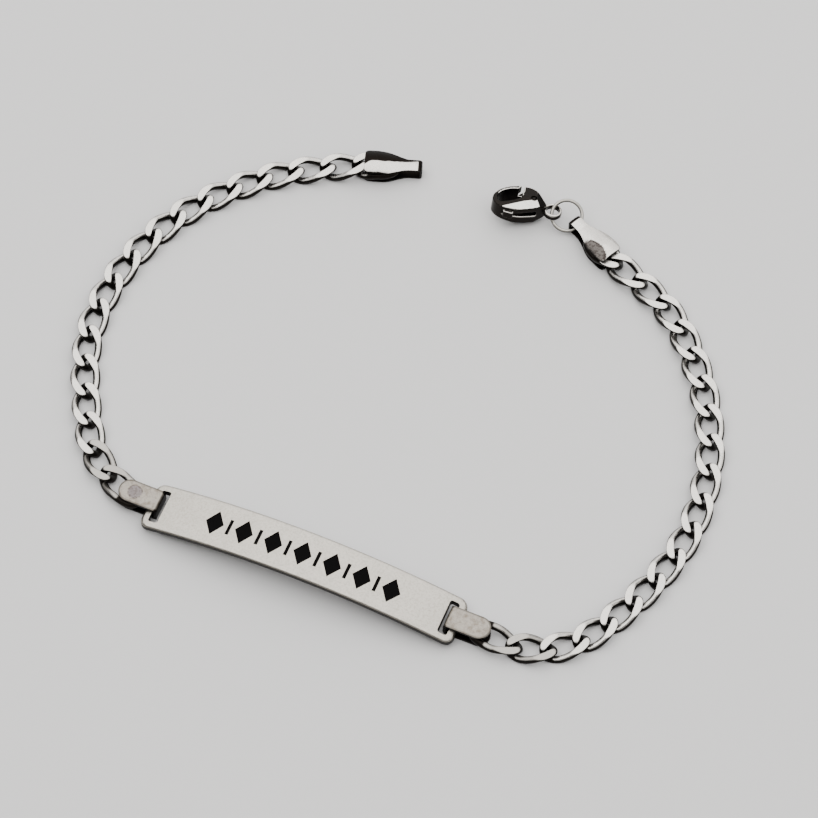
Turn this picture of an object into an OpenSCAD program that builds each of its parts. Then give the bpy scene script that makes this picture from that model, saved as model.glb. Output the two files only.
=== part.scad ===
// Identity bracelet: an arched name plate between two filed curb chains,
// with folded end caps, a jump ring and a lobster clasp. It lies open on a
// table, Z up, with its lowest faces at Z = 0. All sizes are in millimetres.

/* [Plate] */
// Length of the plate from end to end
plate_length = 39.4; // [38.6:0.1:39.8]
// Width of the plate
plate_width = 6.0; // [5.4:0.1:6.4]
// Thickness of the plate
plate_thickness = 1.0; // [0.8:0.05:1.0]
// Height of the arch, middle above ends
plate_arch = 2.5; // [1.8:0.1:2.7]
// Radius of the plate's corners
plate_corner = 1.1; // [0.6:0.1:1.6]
// Width of the bar left outside each slot
bar_width = 0.9; // [0.8:0.05:1.0]
// Size of each slot along the plate
slot_width = 1.1; // [1.05:0.05:1.4]
// Size of each slot across the plate
slot_length = 4.2; // [4:0.1:4.4]
// Depth of the engraved ornament
engraving_depth = 0.12; // [0.05:0.01:0.2]

/* [Straps] */
// Thickness of the folded strap
strap_sheet = 0.35; // [0.3:0.05:0.35]
// Inner gap between the two leaves
strap_gap = 1.45; // [1.45:0.05:1.6]
// Width of the strap
strap_width = 2.8; // [2.6:0.1:3]
// How far the rounded tip stands outside the plate
strap_reach = 3.9; // [3.8:0.1:4]

/* [Chain] */
// Wire of the links
wire = 0.92; // [0.84:0.02:0.94]
// Width over a link
link_width = 3.6; // [3.5:0.05:3.7]
// Length over a link
link_length = 6.1; // [6.1:0.05:6.2]
// Length over the link that each strap holds
end_link_length = 6.9; // [6.8:0.05:7]
// Distance from one crossing of links to the next
pitch = 3.95; // [3.93:0.01:3.98]
// Turn of each half of a link about its length
link_twist = 50; // [46:1:54]
// Half height that the links are filed down to
filed_half = 0.7; // [0.66:0.02:0.76]

/* [Caps] */
// Length of an end cap
cap_length = 7.1; // [6.8:0.1:7.3]
// Sheet of an end cap
cap_sheet = 0.28; // [0.24:0.02:0.3]
// Width over the mouth that holds the chain
cap_width = 3.2; // [3.1:0.1:3.5]
// Width of the narrow folded neck
neck_width = 1.5; // [1.4:0.1:1.7]
// Height over the mouth
cap_height = 2.6; // [2.6:0.05:2.7]
// Height over the neck
neck_height = 2.0; // [1.95:0.05:2.05]

/* [Ring and clasp] */
// Wire of the jump ring
ring_wire = 0.42; // [0.38:0.02:0.44]
// Mean radius of the jump ring
ring_radius = 1.86; // [1.8:0.02:1.9]
// Height over the clasp's body
clasp_height = 2.8; // [2.6:0.05:2.85]
// Thickness of the lever in its slot
lever_thickness = 0.5; // [0.4:0.05:0.6]
// Diameter of the lever's hinge pin
pin_diameter = 0.6; // [0.5:0.05:0.65]

/* [Hidden] */

steel = [0.76, 0.74, 0.71];
dark_steel = [0.42, 0.41, 0.40];

// The plate's middle is drawn at X = Y = 0, then the whole bracelet is moved
// so that the middle of its outline is there instead.
centre_x = 1.5;
centre_y = 27.259;

// Places of the pieces in the plate's own frame.
strap_y_left = 0.45;
strap_y_right = 0.1;
// The right strap is pushed further into its slot than the left one.
strap_in_left = 0;
strap_in_right = 0.25;
cap_left_turn = 18.7;
cap_right_turn = 153;
ring_turn = 23;
ring_tilt = 27;
clasp_turn = 12.5;
clasp_roll = -15;
clasp_pitch = 4.2;

// Routes of the two chains, from the strap towards the cap.
route_left = [[-25.9, 1.8], [-28.9, 4.1], [-32.6, 10], [-35.8, 17], [-36.7, 24],
    [-35.7, 31], [-33.2, 37.4], [-29.2, 43], [-23.4, 48.4], [-15.3, 52.8]];
route_right = [[26.4, -0.1], [30, 1], [33.4, 3.9], [36.4, 9.4], [38.6, 15.5], [39.7, 22],
    [38.7, 30.5], [35.6, 37.9], [31.2, 44.1], [25.7, 49], [17.1, 52.3]];

// A point on a smooth curve through the route's points.
function smooth(p, i, t) =
    let (n = len(p),
        a = p[max(i - 1, 0)], b = p[i], c = p[min(i + 1, n - 1)], d = p[min(i + 2, n - 1)])
    0.5 * (2 * b + (c - a) * t + (2 * a - 5 * b + 4 * c - d) * t * t
        + (3 * b - a - 3 * c + d) * t * t * t);
function curve(p) =
    concat([for (i = [0 : len(p) - 2]) for (s = [0 : 15]) smooth(p, i, s / 16)],
        [p[len(p) - 1]]);
// Parameter at which the segment a to b is one pitch away from the point q.
function reach(a, b, q) =
    let (u = b - a, w = a - q, k = u * u, m = u * w, r = w * w - pitch * pitch)
    (-m + sqrt(max(m * m - k * r, 0))) / k;
// Walks along the curve in equal steps, one for each link.
function walk(c, i, q, count) =
    count == 0 ? [q] :
    i > len(c) - 3 || norm(c[i + 1] - q) >= pitch
        ? let (t = reach(c[i], c[i + 1], q), s = c[i] + (c[i + 1] - c[i]) * t)
            concat([q], walk(c, i, s, count - 1))
        : walk(c, i + 1, q, count);

joints_left = walk(curve(route_left), 0, route_left[0], 16);
joints_right = walk(curve(route_right), 0, route_right[0], 17);
function ahead(turn) = [cos(turn), sin(turn)];
// Distance from the last crossing of links to the mouth of each cap.
mouth_gap = (link_length - pitch) / 2 - 0.5;
cap_left_mouth = joints_left[16] + mouth_gap * ahead(cap_left_turn);
cap_right_mouth = joints_right[17] + mouth_gap * ahead(cap_right_turn);
// The ring's wire crosses the right cap's loop close behind the fold.
cap_right_fold = cap_right_mouth
    + (cap_length - cap_sheet - ring_wire / 2 - 0.31) * ahead(cap_right_turn);
function on_ring(phase) = ring_radius * (cos(phase) * ahead(ring_turn)
    + sin(phase) * cos(ring_tilt) * ahead(ring_turn + 90));
ring_z = 1.48;
ring_centre = cap_right_fold - on_ring(-47);
clasp_phase = 166;
clasp_at = ring_centre + on_ring(clasp_phase) + 0.06 * ahead(ring_turn);
clasp_z = ring_z + ring_radius * sin(clasp_phase) * sin(ring_tilt);

plate_half = plate_length / 2;
bow_outer = (plate_half * plate_half + plate_arch * plate_arch) / (2 * plate_arch);
bow_inner = bow_outer - plate_thickness;
// The plate's lower corners stand a little above the strap's lower leaf.
plate_lift = strap_sheet + 0.1;
bow_z = plate_lift - sqrt(bow_inner * bow_inner - plate_half * plate_half);
strap_height = strap_gap + 2 * strap_sheet;
strap_tip = plate_half + strap_reach;
strap_start = plate_half - bar_width - 0.15 - strap_sheet;
post_radius = 0.38;
// Middle height of the link that a cap holds, and the post inside it.
cap_link_z = cap_sheet + 0.1 + filed_half;
cap_post = link_length - (link_length - pitch) / 2 - mouth_gap - wire - 0.1 - post_radius;

// One link, lying along X: an oval of wire, turned about its length so that
// opposite limbs rise at opposite ends, then filed flat above and below.
link_rings = 16;
link_sides = 6;
function oval(v) = sign(v) * pow(abs(v), 0.83);
function limb(t, a, b, front, rear) =
    let (x = a * oval(cos(t)), y = b * oval(sin(t)),
        turn = -(x > 0 ? front : rear) * x / a)
    [x, y * cos(turn), y * sin(turn)];
function upright(t, a, front, rear) =
    let (x = a * oval(cos(t)), turn = -(x > 0 ? front : rear) * x / a)
    [0, -sin(turn), cos(turn)];
function unit(v) = v / norm(v);
function section(t, a, b, front, rear, r) =
    let (c = limb(t, a, b, front, rear),
        along = unit(limb(t + 2, a, b, front, rear) - limb(t - 2, a, b, front, rear)),
        out = unit(cross(along, upright(t, a, front, rear))),
        up = cross(out, along))
    [for (k = [0 : link_sides - 1])
        c + r * (cos(k * 360 / link_sides) * out + sin(k * 360 / link_sides) * up)];

module link_solid(length, front, rear) {
    a = (length - wire) / 2;
    b = (link_width - wire) / 2;
    n = link_rings;
    m = link_sides;
    points = [for (i = [0 : n - 1])
        each section((i + 0.5) * 360 / n, a, b, front, rear, wire / 2)];
    faces = [for (i = [0 : n - 1]) for (k = [0 : m - 1])
        let (j = (i + 1) % n, l = (k + 1) % m)
        each [[i * m + k, i * m + l, j * m + k], [i * m + l, j * m + l, j * m + k]]];
    intersection() {
        polyhedron(points, faces);
        cube([length + 2, link_width + 2, 2 * filed_half], center = true);
    }
}

// A link placed with its two crossings at the points p and q.
module link_between(p, q, length, front, rear) {
    d = q - p;
    flat = norm([d[0], d[1]]);
    translate((p + q) / 2)
        rotate([0, -atan2(d[2], flat), atan2(d[1], d[0])])
            link_solid(length, front, rear);
}

module place() {
    translate([-centre_x, -centre_y, 0]) children();
}

// Height of the crossing number k of a chain with the given count of steps.
function joint_z(k, count) =
    k == 0 ? filed_half + 0.1 :
    k == count ? filed_half + 0.37 :
    k == count - 1 ? filed_half + 0.16 : filed_half + 0.03;
function joint(list, k) = [list[k][0], list[k][1], joint_z(k, len(list) - 1)];

// Number 1 is the link in the strap, the last one is the link in the cap.
module chain_link(number, joints, strap_at, mouth, turn) {
    last = len(joints) + 1;
    if (number == 1) {
        far = joint(joints, 0);
        dir = unit(far - [strap_at[0], strap_at[1], strap_sheet + strap_gap / 2 + 0.02]);
        half = end_link_length / 2 - (link_length - pitch) / 2;
        color(dark_steel)
            link_between(far - 2 * half * dir, far, end_link_length, link_twist, 0);
    } else if (number == last) {
        near = joint(joints, last - 2);
        seat = [mouth[0], mouth[1], cap_link_z] + cap_post * [cos(turn), sin(turn), 0];
        dir = unit(seat - near);
        color(steel)
            link_between(near, near + pitch * dir, link_length, 0, link_twist);
    } else {
        color(number == 2 ? dark_steel : steel)
            link_between(joint(joints, number - 2), joint(joints, number - 1),
                link_length, link_twist, link_twist);
    }
}

module link_left(number) {
    place() chain_link(number, joints_left, [strap_in_left + 1.0 - strap_tip, strap_y_left],
        cap_left_mouth, cap_left_turn);
}

module link_right(number) {
    place() chain_link(number, joints_right, [strap_tip - 1.0 - strap_in_right, strap_y_right],
        cap_right_mouth, cap_right_turn);
}

module rounded_rect(length, width, radius) {
    square([length - 2 * radius, width], center = true);
    square([length, width - 2 * radius], center = true);
    for (x = [-1, 1]) for (y = [-1, 1])
        translate([x * (length / 2 - radius), y * (width / 2 - radius)])
            circle(r = radius, $fn = 48);
}

// Solid between two bows of the plate's arch, as deep as the given radii.
module arch(outer, inner, width) {
    translate([0, 0, bow_z]) rotate([90, 0, 0]) difference() {
        cylinder(r = outer, h = width, center = true, $fn = 180);
        cylinder(r = inner, h = width + 1, center = true, $fn = 180);
    }
}

// Seven lozenges with a short stroke between them.
module ornament() {
    step = 3.7;
    for (i = [-3 : 3]) translate([i * step, 0])
        polygon([[-1.15, 0], [0, -1.6], [1.15, 0], [0, 1.6]]);
    for (i = [-3 : 2]) translate([(i + 0.5) * step, 0])
        square([0.42, 2.0], center = true);
}

module id_plate() {
    color(steel) place() difference() {
        intersection() {
            arch(bow_outer, bow_inner, plate_width + 2);
            linear_extrude(10) rounded_rect(plate_length, plate_width, plate_corner);
        }
        for (side = [-1, 1])
            translate([side * (plate_half - bar_width - slot_width / 2), 0, -1])
                linear_extrude(12) square([slot_width, slot_length], center = true);
        intersection() {
            arch(bow_outer + 1, bow_outer - engraving_depth, plate_width + 2);
            linear_extrude(12) ornament();
        }
    }
}

// Side view of a strap folded into a U, closed at X = 0, with leaves up to length.
module fold_profile(length, height, sheet, round_out) {
    difference() {
        union() {
            translate([round_out, 0]) square([length - round_out, height]);
            translate([0, round_out]) square([length, height - 2 * round_out]);
            for (y = [round_out, height - round_out])
                translate([round_out, y]) circle(r = round_out, $fn = 48);
        }
        translate([sheet, sheet]) square([length, height - 2 * sheet]);
    }
}

// Strap drawn for the side +X, with its width about Y = 0.
module strap() {
    length = strap_tip - strap_start;
    tip_radius = strap_width / 2;
    translate([strap_start, 0, 0]) {
        intersection() {
            translate([0, strap_width, 0]) rotate([90, 0, 0])
                linear_extrude(2 * strap_width)
                    fold_profile(length + 1, strap_height, strap_sheet, 0.45);
            translate([0, 0, -1]) linear_extrude(strap_height + 2) union() {
                translate([0, -strap_width / 2])
                    square([length - tip_radius, strap_width]);
                translate([length - tip_radius, 0]) circle(r = tip_radius, $fn = 64);
            }
        }
        translate([length - 1.2, 0, strap_sheet / 2])
            cylinder(r = post_radius, h = strap_height - strap_sheet, $fn = 32);
    }
}

module connector_left() {
    color(steel) place()
        translate([strap_in_left, strap_y_left, 0]) mirror([1, 0, 0]) strap();
}

module connector_right() {
    color(steel) place() translate([-strap_in_right, strap_y_right, 0]) strap();
}

// Half width of a cap at the distance x from its mouth.
function flare(x) =
    let (t = min(max((x - 2.2) / 3.4, 0), 1), s = t * t * (3 - 2 * t))
    cap_width / 2 * (1 - s) + neck_width / 2 * s
        - 0.12 * pow(max(1 - x / 1.2, 0), 2);
module cap_plan(inset, from, to) {
    n = 22;
    xs = [for (i = [0 : n]) from + (to - from) * i / n];
    polygon(concat([for (x = xs) [x, flare(x) - inset]],
        [for (i = [n : -1 : 0]) [xs[i], -(flare(xs[i]) - inset)]]));
}
// Top of a cap at the distance x from its mouth.
function cap_top(x) =
    cap_height + (neck_height - cap_height) * min(max((x - 1.6) / 3.6, 0), 1);
// Side view of a cap, less the given skin thickness all round.
module cap_side(skin, from, to) {
    xs = [for (i = [0 : 12]) from + (to - from) * i / 12];
    polygon(concat([[from, skin], [to, skin]],
        [for (i = [12 : -1 : 0]) [xs[i], cap_top(xs[i]) - skin]]));
}

// Cap with its mouth at X = 0, opening towards -X, and its fold at the far end.
module cap() {
    crown = 2.7;
    difference() {
        intersection() {
            union() {
                translate([0, 4, 0]) rotate([90, 0, 0])
                    linear_extrude(8) cap_side(0, 0, cap_length - 0.45);
                translate([cap_length - 0.6, -4, 0.45]) cube([0.6, 8, neck_height - 0.9]);
                for (z = [0.45, neck_height - 0.45])
                    translate([cap_length - 0.45, 0, z]) rotate([90, 0, 0])
                        cylinder(r = 0.45, h = 8, center = true, $fn = 48);
            }
            translate([0, 0, -1]) linear_extrude(5) cap_plan(0, 0, cap_length + 1);
            translate([-1, 0, cap_height - crown]) rotate([0, 90, 0])
                cylinder(r = crown, h = cap_length + 3, $fn = 96);
        }
        // Room for the chain's last link.
        intersection() {
            translate([0, 4, 0]) rotate([90, 0, 0])
                linear_extrude(8) cap_side(cap_sheet, -1, 5.0);
            translate([-1, 0, cap_height - crown]) rotate([0, 90, 0])
                cylinder(r = crown - cap_sheet, h = cap_length + 3, $fn = 96);
        }
        // Loop behind the fold, open at both sides.
        translate([4.9, -4, cap_sheet])
            cube([cap_length - cap_sheet - 4.9, 8, neck_height - 2 * cap_sheet]);
    }
    // Post inside the last link, joined to both sheets.
    translate([cap_post, 0, cap_sheet / 2])
        cylinder(r = post_radius, h = cap_top(cap_post) - cap_sheet, $fn = 32);
}

module end_cap_left() {
    color(steel) place()
        translate([cap_left_mouth[0], cap_left_mouth[1], 0]) rotate([0, 0, cap_left_turn]) cap();
}

module end_cap_right() {
    color(steel) place()
        translate([cap_right_mouth[0], cap_right_mouth[1], 0]) rotate([0, 0, cap_right_turn]) cap();
}

module jump_ring() {
    color(steel) place() translate([ring_centre[0], ring_centre[1], ring_z])
        rotate([0, 0, ring_turn]) rotate([ring_tilt, 0, 0])
            rotate_extrude($fn = 96) translate([ring_radius, 0]) circle(d = ring_wire, $fn = 32);
}

// The clasp has its eye at the origin and its hook towards -X. The lever's
// gate is on the side +Y and its thumb nub on the side -Y.
hinge_at = [-2.5, 0.35];
// Reach of the gate from the hinge, and the gap that it leaves to the hook's tip.
gate_reach = 2.3;
gate_gap = 0.07;
function closed(p, i, t) =
    let (n = len(p), a = p[(i + n - 1) % n], b = p[i % n], c = p[(i + 1) % n], d = p[(i + 2) % n])
    0.5 * (2 * b + (c - a) * t + (2 * a - 5 * b + 4 * c - d) * t * t
        + (3 * b - a - 3 * c + d) * t * t * t);
function outline(p, steps) =
    [for (i = [0 : len(p) - 1]) for (s = [0 : steps - 1]) closed(p, i, s / steps)];
body_points = [[-0.8, 0], [-1.3, 0.75], [-2.2, 1.6], [-3.2, 2.0], [-4.7, 1.95], [-6.1, 1.6],
    [-7.2, 0.7], [-7.5, -0.5], [-6.95, -1.35], [-5.8, -1.75], [-4.3, -1.72],
    [-2.8, -1.3], [-1.5, -0.7]];
opening_points = [[-3.95, 0.55], [-4.3, 1.35], [-5.2, 1.45], [-6.3, 1.05], [-6.9, 0.3],
    [-6.9, -0.5], [-6.4, -0.95], [-5.2, -0.55], [-4.3, -0.05]];

module clasp_place() {
    place() translate([clasp_at[0], clasp_at[1], clasp_z])
        rotate([0, 0, clasp_turn]) rotate([clasp_roll, clasp_pitch, 0]) children();
}

module clasp_shell() {
    crown = 7;
    half = clasp_height / 2;
    facet_y = 0.3;
    difference() {
        intersection() {
            translate([0, 0, -2]) linear_extrude(4) polygon(outline(body_points, 4));
            for (side = [-1, 1]) translate([-9, 0, side * (half - crown)])
                rotate([0, 90, 0]) cylinder(r = crown, h = 9, $fn = 96);
            translate([0, 4, 0]) rotate([90, 0, 0]) linear_extrude(8)
                polygon([[-0.5, -0.6], [-2.2, -half], [-4.5, -half], [-8, -half * 0.62],
                    [-8, half * 0.62], [-4.5, half], [-2.2, half], [-0.5, 0.6]]);
        }
        // Polished facet along the near limb.
        translate([-9, facet_y, half - crown + sqrt(crown * crown - facet_y * facet_y)])
            rotate([14, 0, 0]) translate([0, -4, 0]) cube([9, 4, 2]);
    }
}

module clasp_body() {
    slot = lever_thickness + 0.14;
    color(dark_steel) clasp_place() {
        difference() {
            clasp_shell();
            translate([0, 0, -2]) linear_extrude(4) polygon(outline(opening_points, 4));
            // Mouth between the hook's tip and the shoulder, round about the hinge.
            translate([0, 0, -2]) linear_extrude(4) intersection() {
                translate(hinge_at) circle(r = gate_reach + gate_gap, $fn = 96);
                translate([-6.5, 0.9]) square([2.6, 2]);
            }
            // Slot that the lever turns in.
            translate([0, 0, -slot / 2]) linear_extrude(slot)
                polygon([[-1.75, 0.9], [-1.75, -0.3], [-2.6, -2.6], [-6.2, -2.6],
                    [-5.9, -0.6], [-4.4, 0], [-4.6, 3], [-2.9, 3], [-2.9, 1.3]]);
            // Bores for the hinge pin.
            translate([hinge_at[0], hinge_at[1], -2])
                cylinder(d = pin_diameter + 0.1, h = 4, $fn = 48);
        }
        // Cast eye.
        rotate_extrude($fn = 64) {
            translate([0.8, -0.24]) square([0.34, 0.48]);
            for (z = [-0.24, 0.24]) translate([0.97, z]) circle(r = 0.17, $fn = 24);
        }
    }
}

// Straight arm of the lever with round ends.
module arm(p, q, w) {
    d = q - p;
    translate(p) rotate(atan2(d[1], d[0])) translate([0, -w / 2]) square([norm(d), w]);
    translate(p) circle(d = w, $fn = 32);
    translate(q) circle(d = w, $fn = 32);
}

module clasp_lever() {
    color(dark_steel) clasp_place() difference() {
        union() {
            translate([0, 0, -lever_thickness / 2]) linear_extrude(lever_thickness) {
                translate(hinge_at) circle(r = 0.62, $fn = 48);
                arm(hinge_at + [-0.2, 0.1], [-3.75, 1.6], 0.56);
                arm([-5.2, -1.35], [-5.3, -2.0], 0.5);
                // Belly that fills the slot behind the near wall.
                polygon([[-2.5, -0.2], [-3.0, -0.9], [-3.8, -1.35], [-4.8, -1.6], [-5.7, -1.6],
                    [-5.7, -1.15], [-5.2, -0.85], [-4.2, -0.35], [-3.1, 0.3]]);
                // Gate that carries on the hook's rim.
                intersection() {
                    translate(hinge_at) circle(r = gate_reach, $fn = 96);
                    polygon(outline(body_points, 4));
                    translate([-6.5, 1.3]) square([3, 2]);
                }
            }
            // Thumb nub outside the wall.
            translate([0, 0, -0.25]) linear_extrude(0.95) arm([-5.7, -2.08], [-4.9, -2.14], 0.46);
        }
        translate([hinge_at[0], hinge_at[1], -2])
            cylinder(d = pin_diameter + 0.1, h = 4, $fn = 48);
    }
}

module lever_pin() {
    color(dark_steel) clasp_place()
        translate([hinge_at[0], hinge_at[1], -clasp_height / 2 + 0.06])
            cylinder(d = pin_diameter, h = clasp_height - 0.12, $fn = 48);
}

id_plate();
connector_left();
connector_right();
link_left(1);  // link_left_01
link_left(2);  // link_left_02
link_left(3);  // link_left_03
link_left(4);  // link_left_04
link_left(5);  // link_left_05
link_left(6);  // link_left_06
link_left(7);  // link_left_07
link_left(8);  // link_left_08
link_left(9);  // link_left_09
link_left(10);  // link_left_10
link_left(11);  // link_left_11
link_left(12);  // link_left_12
link_left(13);  // link_left_13
link_left(14);  // link_left_14
link_left(15);  // link_left_15
link_left(16);  // link_left_16
link_left(17);  // link_left_17
link_left(18);  // link_left_18
link_right(1);  // link_right_01
link_right(2);  // link_right_02
link_right(3);  // link_right_03
link_right(4);  // link_right_04
link_right(5);  // link_right_05
link_right(6);  // link_right_06
link_right(7);  // link_right_07
link_right(8);  // link_right_08
link_right(9);  // link_right_09
link_right(10);  // link_right_10
link_right(11);  // link_right_11
link_right(12);  // link_right_12
link_right(13);  // link_right_13
link_right(14);  // link_right_14
link_right(15);  // link_right_15
link_right(16);  // link_right_16
link_right(17);  // link_right_17
link_right(18);  // link_right_18
link_right(19);  // link_right_19
end_cap_left();
end_cap_right();
jump_ring();
clasp_body();
clasp_lever();
lever_pin();
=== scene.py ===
"""Looks of an identity bracelet: satin steel over darkened steel, lying open on a pale floor. The tops
carry painted light, and the darkened steel is painted shade on the sides, with oxidised steel in the
hollows.

Every piece is built in millimetres in the plate's own frame, and is then moved and scaled
into the frame of the solid model, which is in metres.
"""

import math
from contextlib import contextmanager

import bmesh
import bpy
from mathutils import Matrix, Vector


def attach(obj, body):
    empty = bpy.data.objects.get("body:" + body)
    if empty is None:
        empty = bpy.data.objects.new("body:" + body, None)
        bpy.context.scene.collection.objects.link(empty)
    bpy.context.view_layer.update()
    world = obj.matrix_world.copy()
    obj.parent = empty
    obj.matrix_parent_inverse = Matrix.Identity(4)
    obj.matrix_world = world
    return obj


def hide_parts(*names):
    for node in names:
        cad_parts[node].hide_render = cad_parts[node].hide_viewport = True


bl_info = {
    "name": "Identity Bracelet",
    "version": (1, 0, 0),
    "blender": (4, 5, 0),
    "location": "3D View > Sidebar > Bracelet",
    "description": "Builds the plate, straps, curb chains, end caps and clasp of an identity bracelet",
    "category": "Add Mesh",
}

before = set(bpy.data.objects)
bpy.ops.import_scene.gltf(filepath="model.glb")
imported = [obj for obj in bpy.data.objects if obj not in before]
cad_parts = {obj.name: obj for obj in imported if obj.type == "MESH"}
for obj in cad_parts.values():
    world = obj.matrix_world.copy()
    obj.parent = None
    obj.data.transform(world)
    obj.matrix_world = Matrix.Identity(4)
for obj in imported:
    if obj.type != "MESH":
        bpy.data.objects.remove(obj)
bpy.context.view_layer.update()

# Millimetres in a metre, how near points are merged, and the middle of the bracelet's outline.
MM = 1000.0
MERGE = 1e-4
CENTRE = Vector((1.5, 27.259, 0.0))

# Places of the pieces in the plate's frame, in millimetres and degrees.
STRAP_LEFT = (0.0, 0.45)
STRAP_RIGHT = (0.25, 0.1)
CAP_LEFT_TURN = 18.7
CAP_RIGHT_TURN = 153.0
RING_TURN = 23.0
RING_TILT = 27.0
RING_Z = 1.48
FOLD_PHASE = -47.0
CLASP_PHASE = 166.0
CLASP_TURN = 12.5
CLASP_ROLL = -15.0
CLASP_PITCH = 4.2
HINGE = (-2.5, 0.35)

# Sizes that the pieces share with the solid model, in millimetres.
PLATE_LIFT = 0.45
SLOT_MIDDLE = 18.25
SLOT_PLAY = 0.15
FOLD_RADIUS = 0.45
POST_RADIUS = 0.38
POST_INSET = 1.2
SEAT_INSET = 1.0
SOLID_WIRE = 0.92
LINK_PLAY = 0.1
CAP_OVERLAP = 0.5
RING_BEHIND_FOLD = 0.31
EYE_PULL = 0.06
PIN_INSET = 0.06

# Where the chains run, from the strap towards the cap, and how dull their first links are.
ROUTE_LEFT = [(-25.9, 1.8), (-28.9, 4.1), (-32.6, 10), (-35.8, 17), (-36.7, 24),
              (-35.7, 31), (-33.2, 37.4), (-29.2, 43), (-23.4, 48.4), (-15.3, 52.8)]
ROUTE_RIGHT = [(26.4, -0.1), (30, 1), (33.4, 3.9), (36.4, 9.4), (38.6, 15.5), (39.7, 22),
               (38.7, 30.5), (35.6, 37.9), (31.2, 44.1), (25.7, 49), (17.1, 52.3)]
STEPS_LEFT = 16
STEPS_RIGHT = 17
DULL_LINKS = (0.8, 0.75, 0.1)

# The camera and what it looks at, in millimetres and degrees.
TARGET = (3.034, 24.165, 0.0)
CAMERA_AZIMUTH = -66.96
CAMERA_ELEVATION = 61.5
CAMERA_DISTANCE = 427.44
CAMERA_LENS = 158.435

# Half the floor's side, and how far it lies below the bracelet, in metres.
FLOOR_HALF = 1.5
FLOOR_DROP = 0.00003


def length(name, description, default, low=0.0, high=0.1):
    """A size in metres that the sidebar shows."""
    return bpy.props.FloatProperty(
        name=name, description=description, default=default, min=low, max=high,
        precision=5, unit="LENGTH")


def shade(name, description, default):
    """A colour that the sidebar shows."""
    return bpy.props.FloatVectorProperty(
        name=name, description=description, default=default, min=0.0, max=1.0,
        size=3, subtype="COLOR")


class BRACELET_PG_plate(bpy.types.PropertyGroup):
    """Sizes of the plate."""

    length: length("Length", "Plate from end to end", 0.0394)
    width: length("Width", "Plate across", 0.006)
    thickness: length("Thickness", "Sheet of the plate", 0.001)
    arch: length("Arch", "Height of the middle above the ends", 0.0025)
    corner: length("Corner", "Radius of the corners", 0.0011)
    bar: length("Bar", "Metal left outside each slot", 0.0009)
    slot_width: length("Slot width", "Slot along the plate", 0.0011)
    slot_length: length("Slot length", "Slot across the plate", 0.0042)
    bevel: length("Slot edge", "Radius of the slots' rounded edges", 0.0001)
    edge: length("Rounded edge", "Radius of the rounded outer edges", 0.0003)
    engraving: length("Engraving", "Depth of the ornament", 0.00012)


class BRACELET_PG_straps(bpy.types.PropertyGroup):
    """Sizes of the folded straps."""

    sheet: length("Sheet", "Thickness of the strap", 0.00035)
    gap: length("Gap", "Space between the two leaves", 0.00145)
    width: length("Width", "Strap across", 0.0028)
    reach: length("Reach", "How far the tip stands outside the plate", 0.0039)
    bevel: length("Rounded edge", "Radius of the rounded edges", 0.00011)


class BRACELET_PG_chain(bpy.types.PropertyGroup):
    """Sizes of the links."""

    wire: length("Wire", "Diameter of the wire", 0.00088)
    width: length("Width", "Link across", 0.0036)
    link: length("Length", "Link from end to end", 0.0061)
    end_link: length("End link", "Length of the link in the strap", 0.0069)
    pitch: length("Pitch", "Distance between crossings", 0.00395)
    filed: length("Filed height", "Half height that the links are filed to", 0.0007)
    twist: bpy.props.FloatProperty(
        name="Twist", description="Turn of each half of a link about its length",
        default=math.radians(50), subtype="ANGLE")
    rings: bpy.props.IntProperty(
        name="Rings", description="Sections along a link", default=80, min=24, max=120)
    sides: bpy.props.IntProperty(
        name="Sides", description="Points round the wire", default=24, min=10, max=32)


class BRACELET_PG_caps(bpy.types.PropertyGroup):
    """Sizes of the end caps."""

    length: length("Length", "Cap from mouth to fold", 0.0071)
    sheet: length("Sheet", "Thickness of the cap", 0.00028)
    mouth: length("Mouth", "Width over the mouth", 0.0032)
    neck: length("Neck", "Width of the narrow fold", 0.0015)
    height: length("Height", "Height over the mouth", 0.0026)
    neck_height: length("Neck height", "Height over the neck", 0.002)
    crown: length("Crown", "Radius of the rounded top", 0.0027)
    bevel: length("Rounded edge", "Radius of the rounded edges", 0.00008)


class BRACELET_PG_clasp(bpy.types.PropertyGroup):
    """Sizes of the jump ring and the clasp."""

    ring_wire: length("Ring wire", "Wire of the jump ring", 0.00042)
    ring_radius: length("Ring radius", "Mean radius of the jump ring", 0.00186)
    height: length("Height", "Clasp over its faces", 0.0028)
    pin: length("Pin", "Diameter of the hinge pin", 0.0006)
    grain: length("Grain", "Size of the clasp's mesh cells", 0.00006)


class BRACELET_PG_finish(bpy.types.PropertyGroup):
    """Colours of the finishes, the painted light and shade, and the floor."""

    # Bright steel goes where the mesh is bright by wear, and where it is painted lit: on tops and
    # ridges that face the lamps.
    bright: shade("Bright steel", "Worn facets of the links and caps", (0.62, 0.59, 0.545))
    plate: shade("Plate steel", "Satin steel of the plate", (0.43, 0.40, 0.35))
    straps: shade("Strap steel", "Tarnished steel of the straps", (0.27, 0.245, 0.21))
    ring: shade("Ring steel", "Steel of the jump ring", (0.40, 0.38, 0.34))
    # Darkened steel stands for painted shade on the sides, undersides and folds, and for oxidised
    # steel in the hollows.
    dark: shade("Darkened steel", "Oxide in the hollows and on the sides", (0.005, 0.0044, 0.004))
    clasp: shade("Clasp steel", "Polished dark steel of the clasp", (0.008, 0.0076, 0.0073))
    fill: shade("Engraving", "Black in the engraving", (0.003, 0.0028, 0.0028))
    floor: shade("Floor", "Pale floor", (0.62, 0.61, 0.60))


GROUPS = {
    "plate": BRACELET_PG_plate,
    "straps": BRACELET_PG_straps,
    "chain": BRACELET_PG_chain,
    "caps": BRACELET_PG_caps,
    "clasp": BRACELET_PG_clasp,
    "finish": BRACELET_PG_finish,
}


def sizes(context, group):
    """The settings of one group, which the scene holds."""
    return getattr(context.scene, "bracelet_" + group)


# Node trees


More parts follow.
